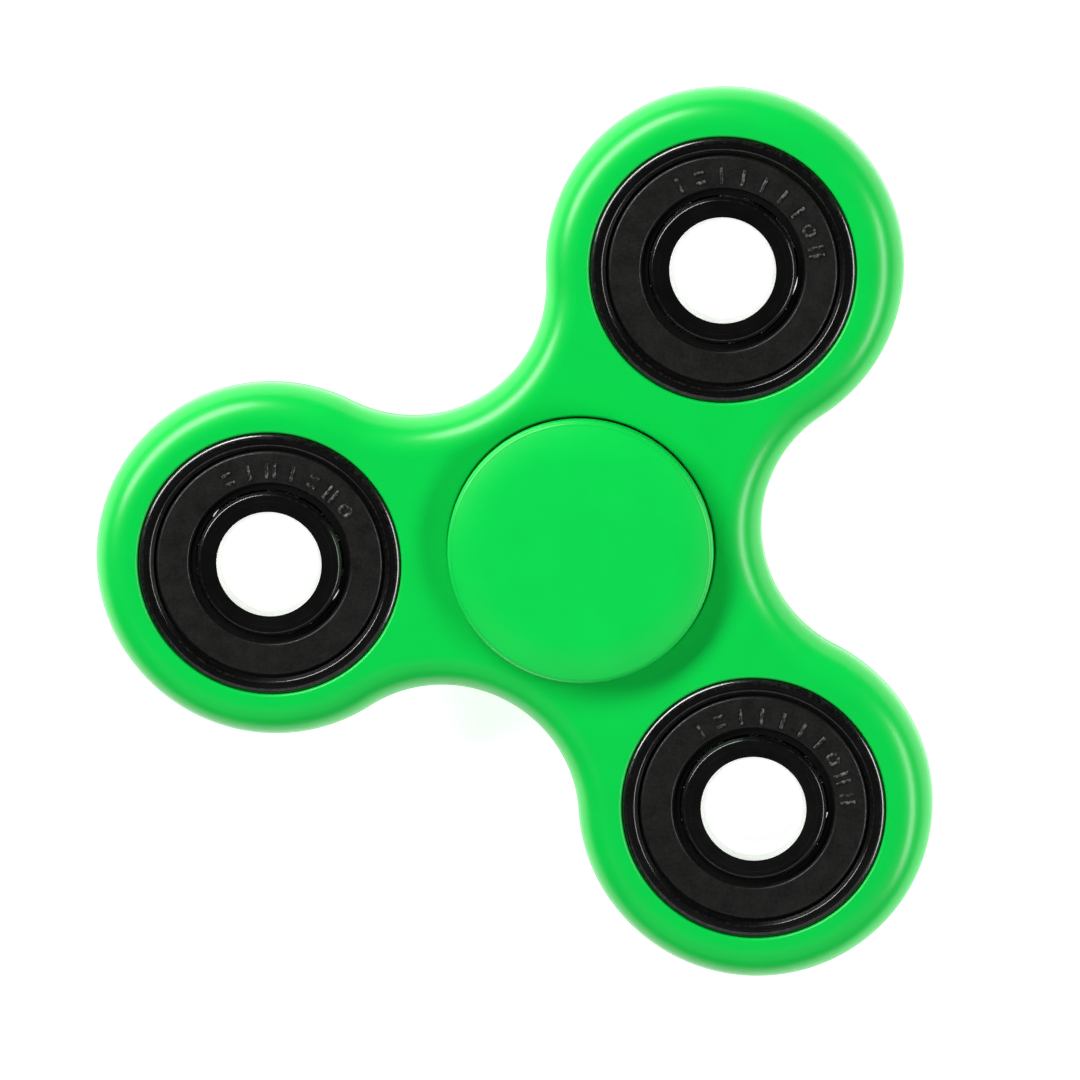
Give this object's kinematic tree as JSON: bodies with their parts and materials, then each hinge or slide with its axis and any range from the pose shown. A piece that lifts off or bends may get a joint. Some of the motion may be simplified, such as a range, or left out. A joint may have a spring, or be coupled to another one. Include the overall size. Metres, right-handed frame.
{
  "type": "fidget spinner",
  "caption": "Three-lobed finger spinner: glossy body that turns on a hub ball bearing between two finger caps, with an open ball bearing in each lobe.",
  "frame": {"origin": "middle of the hub bearing, on the spinning axis, halfway through the body's thickness; it is also the centre of mass", "axes": "+Z along the spinning axis, out of the front cap; -X towards the left lobe, +X towards the hollow waist opposite it; +Y towards the upper lobe's side"},
  "size_m": [0.0686, 0.0746, 0.012],
  "materials": {
    "body_plastic": "glossy moulded ABS, green all through",
    "cap_plastic": "glossy moulded ABS, the same green as the body",
    "bearing_ring": "bearing steel, blackened, turned and ground, slightly glossy",
    "bearing_seal": "matte black nitrile rubber moulded on a steel washer",
    "bearing_cage": "pressed bright steel sheet",
    "bearing_rivet": "small bright steel rivets",
    "bearing_ball": "polished chrome steel"
  },
  "bodies": {
    "grip": {"front_cap": "cap_plastic", "back_cap": "cap_plastic", "hub_bearing_inner_ring": "bearing_ring"},
    "rotor": {"spinner_body": "body_plastic", "hub_bearing_outer_ring": "bearing_ring", "hub_bearing_front_seal": "bearing_seal", "hub_bearing_back_seal": "bearing_seal", "upper_bearing_outer_ring": "bearing_ring", "upper_bearing_front_seal": "bearing_seal", "upper_bearing_back_seal": "bearing_seal", "left_bearing_outer_ring": "bearing_ring", "left_bearing_front_seal": "bearing_seal", "left_bearing_back_seal": "bearing_seal", "lower_bearing_outer_ring": "bearing_ring", "lower_bearing_front_seal": "bearing_seal", "lower_bearing_back_seal": "bearing_seal"},
    "upper_inner_ring": {"upper_bearing_inner_ring": "bearing_ring"},
    "left_inner_ring": {"left_bearing_inner_ring": "bearing_ring"},
    "lower_inner_ring": {"lower_bearing_inner_ring": "bearing_ring"},
    "hub_cage": {"hub_bearing_front_cage": "bearing_cage", "hub_bearing_back_cage": "bearing_cage", "hub_bearing_cage_rivets": "bearing_rivet"},
    "hub_ball_1": {"hub_bearing_ball_1": "bearing_ball"},
    "hub_ball_2": {"hub_bearing_ball_2": "bearing_ball"},
    "hub_ball_3": {"hub_bearing_ball_3": "bearing_ball"},
    "hub_ball_4": {"hub_bearing_ball_4": "bearing_ball"},
    "hub_ball_5": {"hub_bearing_ball_5": "bearing_ball"},
    "hub_ball_6": {"hub_bearing_ball_6": "bearing_ball"},
    "hub_ball_7": {"hub_bearing_ball_7": "bearing_ball"},
    "upper_cage": {"upper_bearing_front_cage": "bearing_cage", "upper_bearing_back_cage": "bearing_cage", "upper_bearing_cage_rivets": "bearing_rivet"},
    "upper_ball_1": {"upper_bearing_ball_1": "bearing_ball"},
    "upper_ball_2": {"upper_bearing_ball_2": "bearing_ball"},
    "upper_ball_3": {"upper_bearing_ball_3": "bearing_ball"},
    "upper_ball_4": {"upper_bearing_ball_4": "bearing_ball"},
    "upper_ball_5": {"upper_bearing_ball_5": "bearing_ball"},
    "upper_ball_6": {"upper_bearing_ball_6": "bearing_ball"},
    "upper_ball_7": {"upper_bearing_ball_7": "bearing_ball"},
    "left_cage": {"left_bearing_front_cage": "bearing_cage", "left_bearing_back_cage": "bearing_cage", "left_bearing_cage_rivets": "bearing_rivet"},
    "left_ball_1": {"left_bearing_ball_1": "bearing_ball"},
    "left_ball_2": {"left_bearing_ball_2": "bearing_ball"},
    "left_ball_3": {"left_bearing_ball_3": "bearing_ball"},
    "left_ball_4": {"left_bearing_ball_4": "bearing_ball"},
    "left_ball_5": {"left_bearing_ball_5": "bearing_ball"},
    "left_ball_6": {"left_bearing_ball_6": "bearing_ball"},
    "left_ball_7": {"left_bearing_ball_7": "bearing_ball"},
    "lower_cage": {"lower_bearing_front_cage": "bearing_cage", "lower_bearing_back_cage": "bearing_cage", "lower_bearing_cage_rivets": "bearing_rivet"},
    "lower_ball_1": {"lower_bearing_ball_1": "bearing_ball"},
    "lower_ball_2": {"lower_bearing_ball_2": "bearing_ball"},
    "lower_ball_3": {"lower_bearing_ball_3": "bearing_ball"},
    "lower_ball_4": {"lower_bearing_ball_4": "bearing_ball"},
    "lower_ball_5": {"lower_bearing_ball_5": "bearing_ball"},
    "lower_ball_6": {"lower_bearing_ball_6": "bearing_ball"},
    "lower_ball_7": {"lower_bearing_ball_7": "bearing_ball"}
  },
  "joints": [
    {"name": "spinner_spin", "type": "hinge", "parent": "grip", "child": "rotor", "pos_m": [0, 0, 0], "axis": [0, 0, 1], "continuous": true},
    {"name": "upper_inner_ring_spin", "type": "hinge", "parent": "rotor", "child": "upper_inner_ring", "pos_m": [0.013, 0.02252, 0], "axis": [0, 0, 1], "continuous": true},
    {"name": "left_inner_ring_spin", "type": "hinge", "parent": "rotor", "child": "left_inner_ring", "pos_m": [-0.026, 0, 0], "axis": [0, 0, 1], "continuous": true},
    {"name": "lower_inner_ring_spin", "type": "hinge", "parent": "rotor", "child": "lower_inner_ring", "pos_m": [0.013, -0.02252, 0], "axis": [0, 0, 1], "continuous": true},
    {"name": "hub_cage_turn", "type": "hinge", "parent": "grip", "child": "hub_cage", "pos_m": [0, 0, 0], "axis": [0, 0, 1], "continuous": true},
    {"name": "hub_ball_1_roll", "type": "hinge", "parent": "hub_cage", "child": "hub_ball_1", "pos_m": [0.0075, 0, 0], "axis": [0, 0, 1], "continuous": true},
    {"name": "hub_ball_2_roll", "type": "hinge", "parent": "hub_cage", "child": "hub_ball_2", "pos_m": [0.00468, 0.00586, 0], "axis": [0, 0, 1], "continuous": true},
    {"name": "hub_ball_3_roll", "type": "hinge", "parent": "hub_cage", "child": "hub_ball_3", "pos_m": [-0.00167, 0.00731, 0], "axis": [0, 0, 1], "continuous": true},
    {"name": "hub_ball_4_roll", "type": "hinge", "parent": "hub_cage", "child": "hub_ball_4", "pos_m": [-0.00676, 0.00325, 0], "axis": [0, 0, 1], "continuous": true},
    {"name": "hub_ball_5_roll", "type": "hinge", "parent": "hub_cage", "child": "hub_ball_5", "pos_m": [-0.00676, -0.00325, 0], "axis": [0, 0, 1], "continuous": true},
    {"name": "hub_ball_6_roll", "type": "hinge", "parent": "hub_cage", "child": "hub_ball_6", "pos_m": [-0.00167, -0.00731, 0], "axis": [0, 0, 1], "continuous": true},
    {"name": "hub_ball_7_roll", "type": "hinge", "parent": "hub_cage", "child": "hub_ball_7", "pos_m": [0.00468, -0.00586, 0], "axis": [0, 0, 1], "continuous": true},
    {"name": "upper_cage_turn", "type": "hinge", "parent": "rotor", "child": "upper_cage", "pos_m": [0.013, 0.02252, 0], "axis": [0, 0, 1], "continuous": true},
    {"name": "upper_ball_1_roll", "type": "hinge", "parent": "upper_cage", "child": "upper_ball_1", "pos_m": [0.0205, 0.02252, 0], "axis": [0, 0, 1], "continuous": true},
    {"name": "upper_ball_2_roll", "type": "hinge", "parent": "upper_cage", "child": "upper_ball_2", "pos_m": [0.01768, 0.02838, 0], "axis": [0, 0, 1], "continuous": true},
    {"name": "upper_ball_3_roll", "type": "hinge", "parent": "upper_cage", "child": "upper_ball_3", "pos_m": [0.01133, 0.02983, 0], "axis": [0, 0, 1], "continuous": true},
    {"name": "upper_ball_4_roll", "type": "hinge", "parent": "upper_cage", "child": "upper_ball_4", "pos_m": [0.00624, 0.02577, 0], "axis": [0, 0, 1], "continuous": true},
    {"name": "upper_ball_5_roll", "type": "hinge", "parent": "upper_cage", "child": "upper_ball_5", "pos_m": [0.00624, 0.01926, 0], "axis": [0, 0, 1], "continuous": true},
    {"name": "upper_ball_6_roll", "type": "hinge", "parent": "upper_cage", "child": "upper_ball_6", "pos_m": [0.01133, 0.0152, 0], "axis": [0, 0, 1], "continuous": true},
    {"name": "upper_ball_7_roll", "type": "hinge", "parent": "upper_cage", "child": "upper_ball_7", "pos_m": [0.01768, 0.01665, 0], "axis": [0, 0, 1], "continuous": true},
    {"name": "left_cage_turn", "type": "hinge", "parent": "rotor", "child": "left_cage", "pos_m": [-0.026, 0, 0], "axis": [0, 0, 1], "continuous": true},
    {"name": "left_ball_1_roll", "type": "hinge", "parent": "left_cage", "child": "left_ball_1", "pos_m": [-0.0185, 0, 0], "axis": [0, 0, 1], "continuous": true},
    {"name": "left_ball_2_roll", "type": "hinge", "parent": "left_cage", "child": "left_ball_2", "pos_m": [-0.02132, 0.00586, 0], "axis": [0, 0, 1], "continuous": true},
    {"name": "left_ball_3_roll", "type": "hinge", "parent": "left_cage", "child": "left_ball_3", "pos_m": [-0.02767, 0.00731, 0], "axis": [0, 0, 1], "continuous": true},
    {"name": "left_ball_4_roll", "type": "hinge", "parent": "left_cage", "child": "left_ball_4", "pos_m": [-0.03276, 0.00325, 0], "axis": [0, 0, 1], "continuous": true},
    {"name": "left_ball_5_roll", "type": "hinge", "parent": "left_cage", "child": "left_ball_5", "pos_m": [-0.03276, -0.00325, 0], "axis": [0, 0, 1], "continuous": true},
    {"name": "left_ball_6_roll", "type": "hinge", "parent": "left_cage", "child": "left_ball_6", "pos_m": [-0.02767, -0.00731, 0], "axis": [0, 0, 1], "continuous": true},
    {"name": "left_ball_7_roll", "type": "hinge", "parent": "left_cage", "child": "left_ball_7", "pos_m": [-0.02132, -0.00586, 0], "axis": [0, 0, 1], "continuous": true},
    {"name": "lower_cage_turn", "type": "hinge", "parent": "rotor", "child": "lower_cage", "pos_m": [0.013, -0.02252, 0], "axis": [0, 0, 1], "continuous": true},
    {"name": "lower_ball_1_roll", "type": "hinge", "parent": "lower_cage", "child": "lower_ball_1", "pos_m": [0.0205, -0.02252, 0], "axis": [0, 0, 1], "continuous": true},
    {"name": "lower_ball_2_roll", "type": "hinge", "parent": "lower_cage", "child": "lower_ball_2", "pos_m": [0.01768, -0.01665, 0], "axis": [0, 0, 1], "continuous": true},
    {"name": "lower_ball_3_roll", "type": "hinge", "parent": "lower_cage", "child": "lower_ball_3", "pos_m": [0.01133, -0.0152, 0], "axis": [0, 0, 1], "continuous": true},
    {"name": "lower_ball_4_roll", "type": "hinge", "parent": "lower_cage", "child": "lower_ball_4", "pos_m": [0.00624, -0.01926, 0], "axis": [0, 0, 1], "continuous": true},
    {"name": "lower_ball_5_roll", "type": "hinge", "parent": "lower_cage", "child": "lower_ball_5", "pos_m": [0.00624, -0.02577, 0], "axis": [0, 0, 1], "continuous": true},
    {"name": "lower_ball_6_roll", "type": "hinge", "parent": "lower_cage", "child": "lower_ball_6", "pos_m": [0.01133, -0.02983, 0], "axis": [0, 0, 1], "continuous": true},
    {"name": "lower_ball_7_roll", "type": "hinge", "parent": "lower_cage", "child": "lower_ball_7", "pos_m": [0.01768, -0.02838, 0], "axis": [0, 0, 1], "continuous": true}
  ],
  "couplings": [
    {"joint": "hub_cage_turn", "follows": "spinner_spin", "ratio": 0.6323},
    {"joint": "hub_ball_1_roll", "follows": "spinner_spin", "ratio": 1.7573},
    {"joint": "hub_ball_2_roll", "follows": "spinner_spin", "ratio": 1.7573},
    {"joint": "hub_ball_3_roll", "follows": "spinner_spin", "ratio": 1.7573},
    {"joint": "hub_ball_4_roll", "follows": "spinner_spin", "ratio": 1.7573},
    {"joint": "hub_ball_5_roll", "follows": "spinner_spin", "ratio": 1.7573},
    {"joint": "hub_ball_6_roll", "follows": "spinner_spin", "ratio": 1.7573},
    {"joint": "hub_ball_7_roll", "follows": "spinner_spin", "ratio": 1.7573},
    {"joint": "upper_cage_turn", "follows": "upper_inner_ring_spin", "ratio": 0.3677},
    {"joint": "upper_ball_1_roll", "follows": "upper_inner_ring_spin", "ratio": -1.7573},
    {"joint": "upper_ball_2_roll", "follows": "upper_inner_ring_spin", "ratio": -1.7573},
    {"joint": "upper_ball_3_roll", "follows": "upper_inner_ring_spin", "ratio": -1.7573},
    {"joint": "upper_ball_4_roll", "follows": "upper_inner_ring_spin", "ratio": -1.7573},
    {"joint": "upper_ball_5_roll", "follows": "upper_inner_ring_spin", "ratio": -1.7573},
    {"joint": "upper_ball_6_roll", "follows": "upper_inner_ring_spin", "ratio": -1.7573},
    {"joint": "upper_ball_7_roll", "follows": "upper_inner_ring_spin", "ratio": -1.7573},
    {"joint": "left_cage_turn", "follows": "left_inner_ring_spin", "ratio": 0.3677},
    {"joint": "left_ball_1_roll", "follows": "left_inner_ring_spin", "ratio": -1.7573},
    {"joint": "left_ball_2_roll", "follows": "left_inner_ring_spin", "ratio": -1.7573},
    {"joint": "left_ball_3_roll", "follows": "left_inner_ring_spin", "ratio": -1.7573},
    {"joint": "left_ball_4_roll", "follows": "left_inner_ring_spin", "ratio": -1.7573},
    {"joint": "left_ball_5_roll", "follows": "left_inner_ring_spin", "ratio": -1.7573},
    {"joint": "left_ball_6_roll", "follows": "left_inner_ring_spin", "ratio": -1.7573},
    {"joint": "left_ball_7_roll", "follows": "left_inner_ring_spin", "ratio": -1.7573},
    {"joint": "lower_cage_turn", "follows": "lower_inner_ring_spin", "ratio": 0.3677},
    {"joint": "lower_ball_1_roll", "follows": "lower_inner_ring_spin", "ratio": -1.7573},
    {"joint": "lower_ball_2_roll", "follows": "lower_inner_ring_spin", "ratio": -1.7573},
    {"joint": "lower_ball_3_roll", "follows": "lower_inner_ring_spin", "ratio": -1.7573},
    {"joint": "lower_ball_4_roll", "follows": "lower_inner_ring_spin", "ratio": -1.7573},
    {"joint": "lower_ball_5_roll", "follows": "lower_inner_ring_spin", "ratio": -1.7573},
    {"joint": "lower_ball_6_roll", "follows": "lower_inner_ring_spin", "ratio": -1.7573},
    {"joint": "lower_ball_7_roll", "follows": "lower_inner_ring_spin", "ratio": -1.7573}
  ]
}
